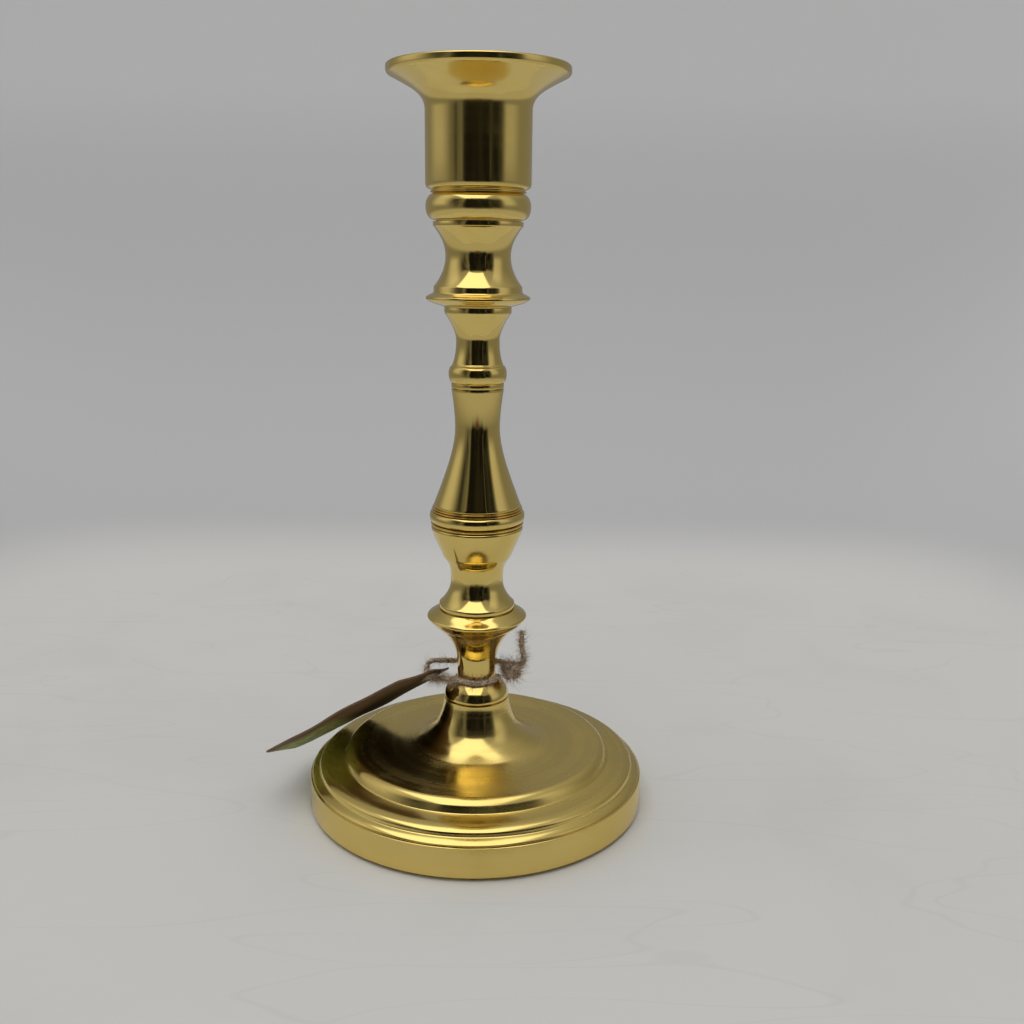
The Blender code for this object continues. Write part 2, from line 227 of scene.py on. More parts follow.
def mesh_object(name, points, quads, triangles=()):
    """A mesh from arrays: points in metres, faces as rows of point numbers."""
    mesh = bpy.data.meshes.new(name)
    faces = np.asarray(quads).tolist() + np.asarray(triangles).tolist()
    mesh.from_pydata(np.asarray(points).tolist(), [], faces)
    mesh.validate(clean_customdata=False)
    mesh.update()
    made = bpy.data.objects.new(name, mesh)
    bpy.context.scene.collection.objects.link(made)
    return made


def own_material(made, material):
    """Gives a piece one material and no other."""
    made.data.materials.clear()
    made.data.materials.append(material)


def finish_piece(made, material, angle=30):
    """Smooth shading that keeps edges sharper than the angle, and one material."""
    made.data.shade_smooth()
    made.data.set_sharp_from_angle(angle=math.radians(angle))
    own_material(made, material)


def ring_grid(rows, columns):
    """Point numbers on a grid whose rows close into rings, and the number beside each."""
    numbers = np.arange(rows * columns).reshape(rows, columns)
    return numbers, np.roll(numbers, -1, axis=1)


def ring_quads(numbers, beside):
    """Quads from each ring to the next one along a tube, looking outwards."""
    return np.stack((numbers[:-1], beside[:-1], beside[1:], numbers[1:]), axis=-1).reshape(-1, 4)


def lathe(name, profile, steps):
    """Carries a profile round +Z: x = r cos a, y = r sin a, z = z, for a grid of (place, angle a).

    A profile off the axis goes round a bore, from the outside's top down and back up inside.
    One that starts and ends on the axis is closed there by a fan of triangles at each end.
    """
    fine = eased(profile)
    bored = fine[0, 0] > 0
    if not bored:
        poles, fine = fine[[0, -1]], fine[1:-1]
    angle = np.arange(steps) * math.tau / steps
    ring_r, ring_z = fine[:, :1], fine[:, 1:]
    points = np.stack((ring_r * np.cos(angle), ring_r * np.sin(angle), ring_z + 0 * angle), axis=-1).reshape(-1, 3)
    numbers, beside = ring_grid(len(fine), steps)
    quads = np.stack((numbers, np.roll(numbers, -1, axis=0), np.roll(beside, -1, axis=0), beside), axis=-1)
    if bored:
        return mesh_object(name, points * MM, quads.reshape(-1, 4))
    first = len(points)
    opening = np.column_stack((np.full(steps, first), numbers[0], beside[0]))
    ending = np.column_stack((np.full(steps, first + 1), beside[-1], numbers[-1]))
    points = np.vstack((points, [(0, 0, poles[0, 1]), (0, 0, poles[1, 1])]))
    return mesh_object(name, points * MM, quads[:-1].reshape(-1, 4), np.vstack((opening, ending)))


# ---- shader helpers

def node(tree, kind, values=None, **options):
    """A new shader node with its options and the plain values of its inputs."""
    made = tree.nodes.new(kind)
    for option, value in options.items():
        setattr(made, option, value)
    for key, value in (values or {}).items():
        made.inputs[key].default_value = value
    return made


def wire(*pairs):
    """Links each (output, input) pair."""
    for source, target in pairs:
        source.id_data.links.new(source, target)


def feed(socket, value):
    """Links an output into a socket, or sets a plain number or a colour on it."""
    if isinstance(value, bpy.types.NodeSocket):
        wire((value, socket))
    else:
        socket.default_value = (*value, 1.0) if isinstance(value, tuple) else value


def mixed(kind, inputs, output, **options):
    """A node in the tree of the sockets among its inputs, {number: socket, number or colour}."""
    tree = next(value.id_data for value in inputs.values() if isinstance(value, bpy.types.NodeSocket))
    made = node(tree, kind, **options)
    for place, value in inputs.items():
        feed(made.inputs[place], value)
    return made.outputs[output]


def math_node(operation, first, second=0.0, clamp=False):
    """A Math node whose inputs may be sockets or plain numbers."""
    return mixed("ShaderNodeMath", {0: first, 1: second}, 0, operation=operation, use_clamp=clamp)


def plus(first, second):
    """first + second."""
    return math_node("ADD", first, second)


def times(first, second):
    """first * second."""
    return math_node("MULTIPLY", first, second)


def band(value, low, high, start=0.0, end=1.0):
    """A smooth step from start to end as value goes from low to high."""
    return mixed("ShaderNodeMapRange",
                 {"Value": value, "From Min": low, "From Max": high, "To Min": start, "To Max": end},
                 "Result", interpolation_type="SMOOTHSTEP")


def window(value, rise, fall, level=1.0):
    """Zero, then level between the end of the rise and the start of the fall, then zero again."""
    return times(band(value, *rise), band(value, *fall, level, 0.0))


def mix_values(factor, first, second):
    """first * (1 - factor) + second * factor, for sockets or plain numbers."""
    return mixed("ShaderNodeMix", {0: factor, 2: first, 3: second}, 0, data_type="FLOAT")


def mix_colours(factor, first, second):
    """The same for colours."""
    return mixed("ShaderNodeMix", {0: factor, 6: first, 7: second}, 2, data_type="RGBA")


def noise(place, scale, **others):
    """A Noise Texture's value, read at a place."""
    return mixed("ShaderNodeTexNoise", {"Vector": place, "Scale": scale, **others}, "Fac")


def scaled(colour, factor, lift=0.0):
    """A colour made lighter or darker, and never brighter than white."""
    return tuple(min(1.0, part * factor + lift) for part in colour)


def object_place(tree):
    """Where a point lies in its piece."""
    return node(tree, "ShaderNodeTexCoord").outputs["Object"]


def apart(place):
    """A vector's x, y and z."""
    parts = node(place.id_data, "ShaderNodeSeparateXYZ")
    wire((place, parts.inputs[0]))
    return parts.outputs


def built_once(name, shelf="materials"):
    """Looks for the material or node group of this name before it's built."""
    return lambda build: lambda: getattr(bpy.data, shelf).get(name) or build(name)


def new_group(name, inputs, outputs):
    """A shader node group with float inputs {name: default} and outputs {name: socket type}."""
    tree = bpy.data.node_groups.new(name, "ShaderNodeTree")
    for label, default in inputs.items():
        socket = tree.interface.new_socket(label, in_out="INPUT", socket_type="NodeSocketFloat")
        socket.default_value = default
    for label, kind in outputs.items():
        tree.interface.new_socket(label, in_out="OUTPUT", socket_type=kind)
    return tree, node(tree, "NodeGroupInput"), node(tree, "NodeGroupOutput")


def placed(tree, group, **values):
    """A group placed in a material, with its own values."""
    made = node(tree, "ShaderNodeGroup", node_tree=group)
    for label, value in values.items():
        made.inputs[label.replace("_", " ").capitalize()].default_value = value
    return made


@built_once("turning marks", "node_groups")
def turning_marks_group(name):
    """Rings left by the lathe tool and the buff: noise read along (radius, height) only, so it runs round.

    Height is for a bump; Streak is a mask from 0 to 1 that differs from ring to ring.
    """
    tree, given, result = new_group(
        name, {"Rings per mm": 6.0, "Breaks": 0.35}, {"Height": "NodeSocketFloat", "Streak": "NodeSocketFloat"})
    east, north, height = apart(object_place(tree))
    squared = plus(math_node("POWER", east, 2.0), math_node("POWER", north, 2.0))
    per_metre = times(given.outputs["Rings per mm"], MM_PER_METRE)
    angle = math_node("ABSOLUTE", math_node("ARCTAN2", north, east))
    along = node(tree, "ShaderNodeCombineXYZ")
    wire((times(math_node("SQRT", squared), per_metre), along.inputs[0]),
         (times(height, per_metre), along.inputs[1]),
         (times(angle, given.outputs["Breaks"]), along.inputs[2]),
         (noise(along.outputs[0], 1.0, Detail=2.0, Roughness=0.6), result.inputs["Height"]),
         (band(noise(along.outputs[0], 0.12, Detail=2.0, Roughness=0.5), 0.35, 0.7), result.inputs["Streak"]))
    return tree


@built_once("handling marks", "node_groups")
def handling_group(name):
    """Smudges and hairlines from handling: soft clouds, and thin crossed scratches cut from stretched noise."""
    tree, given, result = new_group(
        name, {"Cloud size mm": 14.0, "Scratch size mm": 3.0},
        {"Smudge": "NodeSocketFloat", "Scratch": "NodeSocketFloat"})
    place = object_place(tree)
    clouds = noise(place, math_node("DIVIDE", MM_PER_METRE, given.outputs["Cloud size mm"]),
                   Detail=4.0, Roughness=0.55, Distortion=0.6)
    scale = math_node("DIVIDE", MM_PER_METRE, given.outputs["Scratch size mm"])
    lines = []
    for turn in ((0.3, 0.2, 0.5), (1.2, -0.6, 2.1)):
        turned_by = node(tree, "ShaderNodeMapping", {"Rotation": turn, "Scale": (0.16, 1.0, 1.0)})
        wire((place, turned_by.inputs["Vector"]))
        hair = noise(turned_by.outputs[0], scale, Detail=1.0, Roughness=0.4)
        lines.append(band(math_node("ABSOLUTE", math_node("SUBTRACT", hair, 0.5)), 0.0, 0.006, 1.0, 0.0))
    wire((band(clouds, 0.42, 0.72), result.inputs["Smudge"]),
         (math_node("MAXIMUM", *lines), result.inputs["Scratch"]))
    return tree


@built_once("fibres", "node_groups")
def fibre_group(name):
    """Short fibres pressed into card or spun into twine: noise stretched along x, as a value and a height."""
    tree, given, result = new_group(
        name, {"Fibre size mm": 0.6, "Stretch": 0.2}, {"Fleck": "NodeSocketFloat", "Height": "NodeSocketFloat"})
    place = object_place(tree)
    stretch = node(tree, "ShaderNodeCombineXYZ", {1: 1.0, 2: 1.0})
    pulled = node(tree, "ShaderNodeVectorMath", operation="MULTIPLY")
    wire((given.outputs["Stretch"], stretch.inputs[0]), (place, pulled.inputs[0]),
         (stretch.outputs[0], pulled.inputs[1]))
    fine = noise(pulled.outputs[0], math_node("DIVIDE", MM_PER_METRE, given.outputs["Fibre size mm"]),
                 Detail=5.0, Roughness=0.7)
    wire((fine, result.inputs["Height"]), (band(fine, 0.38, 0.66), result.inputs["Fleck"]))
    return tree


def new_material(name, **plain):
    """A material with one Principled BSDF and its plain values."""
    made = bpy.data.materials.new(name)
    made.use_nodes = True
    shader = made.node_tree.nodes["Principled BSDF"]
    for label, value in plain.items():
        shader.inputs[label.replace("_", " ")].default_value = value
    return made, made.node_tree, shader


# ---- materials

def coat(tree, shader, colour, height, strength, depth, rough=None):
    """Wires a colour, a bump and, where it isn't plain, a roughness into the shader."""
    bump = node(tree, "ShaderNodeBump", {"Strength": strength, "Distance": depth})
    wire((colour, shader.inputs["Base Color"]), (height, bump.inputs["Height"]),
         (bump.outputs[0], shader.inputs["Normal"]))
    if rough is not None:
        wire((rough, shader.inputs["Roughness"]))


def brass(name, roughness, spread, ring_depth, rings_per_mm, cloud_mm=14.0, dull=0.0):
    """Polished brass: its roughness and colour drift with smudges, rings and hairlines.

    dull is extra roughness between about 15 and 34 mm from the axis.
    """
    look = bpy.context.scene.candlestick_brass
    made, tree, shader = new_material(name, Metallic=1.0, Coat_IOR=1.45, Coat_Roughness=0.05)
    rings = placed(tree, turning_marks_group(), rings_per_mm=rings_per_mm)
    marks = placed(tree, handling_group(), cloud_size_mm=cloud_mm)
    smudge = marks.outputs["Smudge"]
    colour = mix_colours(times(smudge, 0.45), tuple(look.gold), tuple(look.warm))
    drift = plus(times(smudge, spread), times(rings.outputs["Streak"], spread * 0.8))
    rough = plus(plus(drift, roughness), times(marks.outputs["Scratch"], 0.025))
    if dull:
        flat = node(tree, "ShaderNodeVectorMath", {1: (MM_PER_METRE, MM_PER_METRE, 0)}, operation="MULTIPLY")
        reach = node(tree, "ShaderNodeVectorMath", operation="LENGTH")
        wire((object_place(tree), flat.inputs[0]), (flat.outputs["Vector"], reach.inputs[0]))
        rough = plus(rough, window(reach.outputs["Value"], (11.0, 18.0), (32.5, 35.0), dull))
    coat(tree, shader, colour, rings.outputs["Height"], 1.0, ring_depth, rough)
    return made


@built_once("polished stem brass")
def stem_brass(name):
    """The stem: close to a mirror."""
    return brass(name, bpy.context.scene.candlestick_brass.polish, 0.035, 0.0000006, 5.0)


@built_once("brushed cup brass")
def cup_brass(name):
    """The cup: softly brushed round."""
    return brass(name, bpy.context.scene.candlestick_brass.polish + 0.06, 0.06, 0.0000008, 8.0)


@built_once("satin base brass")
def base_brass(name):
    """The base: satin, and duller on the dome."""
    satin = bpy.context.scene.candlestick_brass.satin
    return brass(name, satin - 0.06, 0.14, 0.0000012, 4.0, cloud_mm=22.0, dull=0.06)


@built_once("zinc plated steel")
def plated_steel(name):
    """The rod, washers and nut: pale grey, with darker smudges."""
    made, tree, shader = new_material(name, Metallic=1.0)
    marks = placed(tree, handling_group(), cloud_size_mm=3.0, scratch_size_mm=1.2)
    colour = mix_colours(marks.outputs["Smudge"], (0.62, 0.61, 0.58), (0.42, 0.4, 0.36))
    rough = plus(times(marks.outputs["Smudge"], 0.2), 0.28)
    coat(tree, shader, colour, marks.outputs["Scratch"], 0.5, 0.00002, rough)
    return made


@built_once("jute")
def jute_material(name):
    """Dry jute: flecks of pale and dark fibre."""
    jute = bpy.context.scene.candlestick_tie.jute
    made, tree, shader = new_material(
        name, Roughness=0.88, Sheen_Weight=0.25, Sheen_Roughness=0.5, Specular_IOR_Level=0.25)
    fibres = placed(tree, fibre_group(), fibre_size_mm=0.45, stretch=0.5)
    colour = mix_colours(fibres.outputs["Fleck"], scaled(jute, 0.5), scaled(jute, 1.75, 0.04))
    coat(tree, shader, colour, fibres.outputs["Height"], 0.8, 0.0001)
    return made


@built_once("blotched card with painted shade")
def card_material(name):
    """Card, brown above. Below, a painted shade takes it from brown along one edge to nearly black, and it turns
    olive green towards its free end. Three masks on the mesh tell a point's place: under, along and across."""
    tie = bpy.context.scene.candlestick_tie
    made, tree, shader = new_material(name, Roughness=0.72, Specular_IOR_Level=0.3)
    under, along, across = (node(tree, "ShaderNodeAttribute", attribute_name=mask).outputs["Fac"]
                            for mask in ("under", "along", "across"))
    fibres = placed(tree, fibre_group(), fibre_size_mm=1.1, stretch=0.35)
    blotch = placed(tree, handling_group(), cloud_size_mm=11.0)
    fleck = fibres.outputs["Fleck"]
    top = mix_colours(fleck, scaled(tie.tag_top, 0.7), scaled(tie.tag_top, 1.35))
    green = mix_colours(fleck, scaled(tie.tag_under, 0.65), scaled(tie.tag_under, 1.3))
    # painted shade: across its width the lower face darkens from brown along one edge to nearly black
    shaded = mix_colours(band(across, -0.8, 0.1), scaled(tie.tag_top, 0.75), scaled(tie.tag_top, 0.06))
    greener = times(band(along, 0.5, 0.74), band(across, -1.0, -0.55))
    greener = math_node("ADD", greener, times(blotch.outputs["Smudge"], -0.2), clamp=True)
    colour = mix_colours(under, top, mix_colours(greener, shaded, green))
    coat(tree, shader, colour, fibres.outputs["Height"], 0.5, 0.00008)
    return made


@built_once("pale board")
def board_material(name):
    """A pale painted board that turns up into the backdrop: faint clouds, grit and hairline cracks.

    Within its first 18 mm of height the colour turns to the darker backdrop colour, a painted shade, and a glow
    that grows with height is painted light standing in for light from above.
    """
    look = bpy.context.scene.candlestick_studio
    made, tree, shader = new_material(
        name, Roughness=0.55, Specular_IOR_Level=0.3, Emission_Color=(1.0, 1.0, 1.0, 1.0))
    marks = placed(tree, handling_group(), cloud_size_mm=60.0, scratch_size_mm=22.0)
    place = object_place(tree)
    height = apart(place)[2]
    floor = tuple(look.floor)
    # painted shade: the colour darkens from the floor's to the backdrop's over the first 18 mm of height
    pale = mix_colours(band(height, 0.0, 0.018), floor, tuple(look.backdrop))
    on_floor = band(height, 0.0, 0.01, 1.0, 0.0)
    clouds = times(times(marks.outputs["Smudge"], 0.5), on_floor)
    cracks = times(times(marks.outputs["Scratch"], 0.16), on_floor)
    colour = mix_colours(cracks, mix_colours(clouds, pale, scaled(floor, 0.93)), scaled(floor, 0.75))
    # painted light: a glow that grows with height, up to 0.2, stands in for light from above on the backdrop
    glow = math_node("MINIMUM", times(height, look.backdrop_glow), 0.2)
    wire((glow, shader.inputs["Emission Strength"]))
    coat(tree, shader, colour, noise(place, 900.0, Detail=3.0), 0.15, 0.0002)
    return made


# ---- the turned sections

# each profile is a list of (radius, height) in millimetres, from the top down

def cup_profile():
    """The socket and its flat floor, the dished pan, the thin rim, and the outside down to the cup's foot."""
    under_rim = TOP - 1.6
    return joined(
        [(0, 166.0), (SOCKET_R, 166.0), (SOCKET_R, 166.6), (SOCKET_R, 175.0), (SOCKET_R, 182.6)],
        bend((SOCKET_R, 182.6), (11.3, 184.2), (13.6, 185.4), (20.8, 189.6), 18),
        [(21.4, TOP), (RIM_R - 0.3, TOP), (RIM_R, TOP - 0.3), (RIM_R, under_rim)],
        bend((RIM_R - 0.3, under_rim - 0.5), (15.9, 184.8), (13.1, 183.6), (CUP_R, 179.8), 28),
        [(CUP_R, 174.0), (CUP_R, 168.0), (CUP_R, 163.2), (13.0, 162.7), (12.85, 162.1), (12.4, 161.7),
         (11.65, 161.4), (11.6, 161.15), (11.85, 161.0), (11.85, 160.8), (11.3, 160.65)],
        bead(11.15, 13.0, 160.5, CUP_FOOT + 0.1, 26),
        [(11.1, CUP_FOOT), (10.6, CUP_FOOT), (10.6, CUP_FOOT - JOINT), (BORE_R, CUP_FOOT - JOINT),
         (BORE_R, 162.8), (0, 162.8)])


def with_bore(*parts):
    """Closes a section's outside with a low step that fills the joint below it and with the rod's bore."""
    outside = joined(*parts)
    top, foot = outside[0, 1], outside[-1, 1]
    step_r = outside[-1, 0] - 0.5
    return joined(outside, [(step_r, foot), (step_r, foot - JOINT), (BORE_R, foot - JOINT), (BORE_R, top)])


def upper_knop_profile():
    """A spool: fillet, hollow, fillet, and a knife-edged flange that turns under."""
    return with_bore(
        [(11.2, KNOP_TOP), (11.2, 152.85)],
        waist(11.0, 152.7, 8.13, 145.7, 20), swell(10.8, 138.6, 8.13, 145.7, 20)[1:],
        [(11.05, 138.3), (11.15, 137.0), (11.35, 136.65), (12.3, 136.2), (13.0, 135.85), (13.1, 135.6)],
        bend((13.1, 135.25), (12.5, 134.6), (11.2, 134.1), (9.2, KNOP_FOOT), 12))


def throat_profile():
    """A fillet, the slimmest waist, and a small bead between two fillets."""
    return with_bore(
        [(8.45, THROAT_TOP), (8.45, 131.95)],
        waist(8.3, 131.65, 5.5, 125.2, 20, 1.6), swell(6.35, 119.15, 5.5, 125.2, 18, 2.4)[1:],
        [(6.55, 118.95), (6.45, 118.75)],
        bead(6.5, 7.42, 118.65, 114.4, 22),
        [(6.72, 114.25), (6.72, THROAT_FOOT)])


def baluster_profile():
    """The long waist, the swelling cone and the upper ring of the pair, with fine cut lines."""
    return with_bore(
        waist(6.72, BALUSTER_TOP, 5.75, 103.2, 14, 1.55), flare(5.75, 103.2, 82.8, 0.432, 4.28, 44)[1:],
        [(11.3, 82.4), (10.9, 82.25), (10.9, 82.12), (11.65, 82.05), (11.7, 81.85), (10.9, 81.75),
         (10.9, 81.58), (11.85, 81.5), (11.9, 81.25), (11.1, 81.15), (11.1, 80.98)],
        bead(11.75, 12.42, 80.95, 78.2, 22),
        [(11.1, 78.15), (11.1, 78.0), (11.85, 77.93), (12.1, 77.8), (12.1, 77.45), (11.85, BALUSTER_FOOT)])


def lower_bulb_profile():
    """The lower ring, the bulb that narrows to a waist, and the flare below it."""
    return with_bore(
        [(11.7, BULB_TOP), (11.95, 76.75), (12.0, 76.4)],
        bend((11.95, 76.1), (11.4, 74.2), (9.95, 71.1), (8.95, 68.7), 18),
        bend((8.95, 68.7), (7.85, 67.0), (6.95, 66.4), (6.9, 62.6), 18)[1:],
        swell(9.75, 55.95, 6.9, 62.6, 20, 2.3)[1:],
        [(9.95, 55.8), (10.0, 55.6), (10.0, BULB_FOOT)])


def saucer_neck_profile():
    """The thin saucer flange, its moulded underside, and the neck that narrows to its foot."""
    return with_bore(
        [(10.35, NECK_TOP), (11.1, 53.75), (12.2, 52.95), (13.0, 52.5), (13.25, 52.1), (13.1, 51.65)],
        bend((12.75, 51.4), (11.9, 50.2), (10.9, 49.3), (9.7, 48.7), 12),
        waist(9.5, 48.3, 5.2, 38.0, 26, 2.4),
        [(5.15, 36.0), (5.12, NECK_FOOT)])


def collar_profile():
    """The small convex collar under the neck."""
    return with_bore(
        [(5.6, COLLAR_TOP)], bend((6.2, COLLAR_TOP), (7.3, 33.0), (8.65, 31.6), (8.7, COLLAR_FOOT), 20))


def base_profile():
    """The trumpet, the dome, the step, the tread, the rolled shoulder and the band, then the hollow inside."""
    return joined(
        bend((8.72, BASE_TOP), (8.75, 26.5), (10.25, 22.8), (11.2, 21.3), 26),
        bend((11.2, 21.3), (12.6, 19.15), (14.9, 17.8), (17.0, 16.7), 20)[1:],
        bend((17.0, 16.7), (19.4, 15.5), (25.5, 15.85), (33.4, 15.85), 34)[1:],
        bend((33.4, 15.85), (34.2, 15.7), (34.9, 15.1), (35.3, 14.45), 12)[1:],
        [(35.6, 13.8), (35.85, 13.25), (36.0, 12.85), (36.35, 12.72)],
        bend((39.8, 12.5), (41.2, 12.3), (42.1, 12.0), (42.5, 11.4), 14),
        [(42.62, 11.0), (42.7, 10.5)],
        bend((42.9, 10.33), (43.5, 10.15), (44.2, 9.85), (44.75, 9.3), 8),
        [(44.5, 9.05), (44.5, 8.85), (45.1, 8.7), (BASE_R, 1.2), (BASE_R - 0.2, 0.9), (BASE_R - 0.8, 0.7),
         (BASE_R - 1.9, 0.55), (BASE_R - 2.2, 0), (41.0, 0), (41.0, 6.9), (40.0, 8.3), (36.0, 9.2)],
        bend((33.5, 11.0), (26.0, 13.4), (18.0, 14.9), (11.5, 15.2), 16),
        [(9.4, 14.3), (9.4, 11.5), (BORE_R, 11.5), (BORE_R, BASE_TOP)])


SECTIONS = {
    "candle_cup": (cup_profile, cup_brass),
    "upper_knop": (upper_knop_profile, stem_brass),
    "throat": (throat_profile, stem_brass),
    "baluster": (baluster_profile, stem_brass),
    "lower_bulb": (lower_bulb_profile, stem_brass),
    "saucer_neck": (saucer_neck_profile, stem_brass),
    "collar": (collar_profile, stem_brass),
    "base": (base_profile, base_brass),
}


# ---- the tag and the twine

def unit(vector):
    """The same way, one long."""
    return vector / np.linalg.norm(vector)


def tag_axes():
    """The tag's own directions: along its length, across its width, and out of its upper face."""
    along = unit(TAG_ALONG)
    across = unit(TAG_ACROSS_HINT - along * (TAG_ACROSS_HINT @ along))
    return along, across, np.cross(across, along)


def twine_route():
    """From the knot round the front of the neck, through the tag, behind the neck and past the knot."""
    along, _, upward = tag_axes()
    middle = TAG_END + along * (HOLE_AT - TWINE_TURN_R)
    angle = np.radians(-90 + 45 * np.arange(5))[:, None]
    turn = middle + (along * np.cos(angle) + upward * np.sin(angle)) * TWINE_TURN_R
    front = [(6.2, -2.9, 35.8), (4.2, -4.8, 35.1), (0.0, -6.4, 34.9), (-4.6, -4.7, 35.0), (-7.7, -2.5, 34.4)]
    back = [(-9.2, 2.5, 37.9), (-5.6, 4.4, 37.2), (-0.6, 6.4, 37.1), (4.6, 5.4, 37.0), (8.8, 3.0, 36.9)]
    tail = [(12.3, 0.9, 37.9), (12.7, -1.1, 40.6), (12.1, -2.0, 44.4), (12.2, -2.1, 48.2)]
    return np.vstack((front, turn, back, tail))


def walked_along(path):
    """How far along a path each of its points lies."""
    return np.concatenate(([0.0], np.cumsum(np.linalg.norm(np.diff(path, axis=0), axis=1))))


def evenly(path, walked, count):
    """That many evenly spaced points on a path."""
    places = np.linspace(0, walked[-1], count)
    return np.column_stack([np.interp(places, walked, path[:, axis]) for axis in range(3)])


def smooth_path(route):
    """Even points on the Catmull-Rom curve through a route: t's cubic between each pair of its points."""
    ends = np.vstack((2 * route[0] - route[1], route, 2 * route[-1] - route[-2]))
    t = np.linspace(0, 1, 25)[:-1, None, None]
    a, b, c, d = ends[:-3], ends[1:-2], ends[2:-1], ends[3:]
    fine = 0.5 * (2 * b + (c - a) * t + (2 * a - 5 * b + 4 * c - d) * t ** 2 + (3 * b - a - 3 * c + d) * t ** 3)
    fine = np.vstack((fine.transpose(1, 0, 2).reshape(-1, 3), route[-1:]))
    walked = walked_along(fine)
    return evenly(fine, walked, max(3, round(walked[-1] / TWINE_STEP) + 1)), walked[-1]


def carried_frame(path):
    """Two directions square to a path at each of its points, turned as little as possible on the way."""
    heading = np.gradient(path, axis=0)
    heading /= np.linalg.norm(heading, axis=1)[:, None]
    side = np.zeros_like(path)
    side[0] = unit(np.cross(heading[0], (0.31, 0.17, 0.94)))
    for place in range(1, len(path)):
        side[place] = unit(side[place - 1] - heading[place] * (side[place - 1] @ heading[place]))
    return heading, side, np.cross(heading, side)


def capped_tube(points):
    """The faces of a tube's (place, angle) grid, and a fan of triangles from a middle point at each end."""
    rows, columns = points.shape[:2]
    numbers, beside = ring_grid(rows, columns)
    start = np.column_stack((np.full(columns, rows * columns), beside[0], numbers[0]))
    end = np.column_stack((np.full(columns, rows * columns + 1), numbers[-1], beside[-1]))
    centres = np.stack((points[0].mean(axis=0), points[-1].mean(axis=0)))
    return np.vstack((points.reshape(-1, 3), centres)), ring_quads(numbers, beside), np.vstack((start, end))


def stranded(path, radius, strands=3, pitch=5.5, columns=40, roughen=0.06, seed=3):
    """A twisted twine: point + reach * (side * cos a + other * sin a) for each place and angle a, where reach
    swells over each strand, |cos(strands / 2 * (a - twist))|, and the strands wind along."""
    rng = np.random.default_rng(seed)
    _, side, other = carried_frame(path)
    rows = len(path)
    walked = walked_along(path)[:, None]
    angle = np.broadcast_to(np.arange(columns) * math.tau / columns, (rows, columns))
    lobe = np.abs(np.cos(strands / 2 * (angle - math.tau * walked / pitch))) ** 0.7
    drift = 0.05 * np.sin(walked * 0.83) + 0.04 * np.sin(walked * 2.3 + 1.1)
    reach = radius * (0.7 + 0.36 * lobe + drift + roughen * rng.standard_normal((rows, columns)))
    ring = side[:, None, :] * np.cos(angle)[..., None] + other[:, None, :] * np.sin(angle)[..., None]
    return path[:, None, :] + ring * reach[..., None]


def fuzz(path, radius, count, longest, seed, width=0.045):
    """Loose fibres: thin three-sided spikes that leave the path at a slant and curl a little."""
    rng = np.random.default_rng(seed)
    heading, side, other = carried_frame(path)
    place = rng.integers(0, len(path), count)
    turn = rng.uniform(0, math.tau, count)[:, None]
    outward = side[place] * np.cos(turn) + other[place] * np.sin(turn)
    sideways = np.cross(heading[place], outward)
    slant = rng.uniform(-1.1, 1.1, (count, 1))
    curl = rng.uniform(-0.9, 0.9, (count, 1))
    reach = rng.uniform(0.25, 1.0, (count, 1)) ** 1.6 * longest
    rows, corners = 5, 3
    steps = np.linspace(0, 1, rows)
    t = steps[None, :, None]
    spine = (path[place] + outward * radius * 0.7)[:, None, :] + reach[:, None, :] * (
        t * outward[:, None, :] + (slant[:, None, :] * t + 0.4 * t * t) * heading[place][:, None, :]
        + curl[:, None, :] * t * t * sideways[:, None, :])
    thick = width * (1 - 0.85 * steps)[None, :, None]
    across, upright = sideways[:, None, :], heading[place][:, None, :]
    rings = np.stack([spine + thick * (across * math.cos(a) + upright * math.sin(a))
                      for a in np.arange(corners) * math.tau / corners], axis=2)
    shift = (np.arange(count) * rows * corners)[:, None, None]
    quads = ring_quads(*ring_grid(rows, corners)) + shift
    ends = np.array([(0, 2, 1), (12, 13, 14)]) + shift
    return rings.reshape(-1, 3), quads.reshape(-1, 4), ends.reshape(-1, 3)


def merge_parts(parts):
    """Several (points, quads, triangles) in one, with the point numbers moved on."""
    first = np.cumsum([0] + [len(points) for points, _, _ in parts])
    return (np.vstack([points for points, _, _ in parts]),
            np.vstack([quads + shift for (_, quads, _), shift in zip(parts, first)]),
            np.vstack([triangles + shift for (_, _, triangles), shift in zip(parts, first)]))


def knot_path(middle, size):
    """An overhand knot pulled tight: a trefoil, squeezed to the knot's box, as a closed path cut open."""
    t = np.linspace(0.15, math.tau - 0.15, 260)
    trefoil = np.column_stack((np.sin(t) + 2 * np.sin(2 * t), np.cos(t) - 2 * np.cos(2 * t), -np.sin(3 * t)))
    route = middle + trefoil * (size / np.array((3.2, 3.2, 1.35)))
    walked = walked_along(route)
    return evenly(route, walked, round(walked[-1] / TWINE_STEP))


def tag_surface(length, width, rows=96, columns=48):
    """The tag's middle surface on a grid of s along and t across, both in millimetres.

    Its outline is a rectangle with clipped corners at the tied end. It sags between its long edges,
    sag * ((t / half) ** 2 - 1), and waves slightly: small sines of s and t.
    """
    along, across, upward = tag_axes()
    s = np.linspace(0, length, rows)[:, None]
    half = np.minimum(width / 2, width / 2 - TAG_CLIP + s)
    t = half * np.linspace(-1, 1, columns)
    lift = TAG_SAG * ((t / (width / 2)) ** 2 - 1)
    lift = lift + 0.25 * np.sin(s / 6.5 + t / 9.0) + 0.12 * np.sin(s / 2.7 - t / 3.1)
    middle = TAG_END + s[..., None] * along + t[..., None] * across
    return middle + lift[..., None] * upward, s + 0 * t, t


def cut_hole(surface, s, t):
    """Moves the grid's points off the hole: inside it they go out to its edge, keeping their direction."""
    along, across, _ = tag_axes()
    ds = s - HOLE_AT
    reach = np.hypot(ds, t)
    scale = np.where(reach < HOLE_R, HOLE_R - reach, 0.0) / np.maximum(reach, 1e-6)
    return surface + (ds * scale)[..., None] * along + (t * scale)[..., None] * across


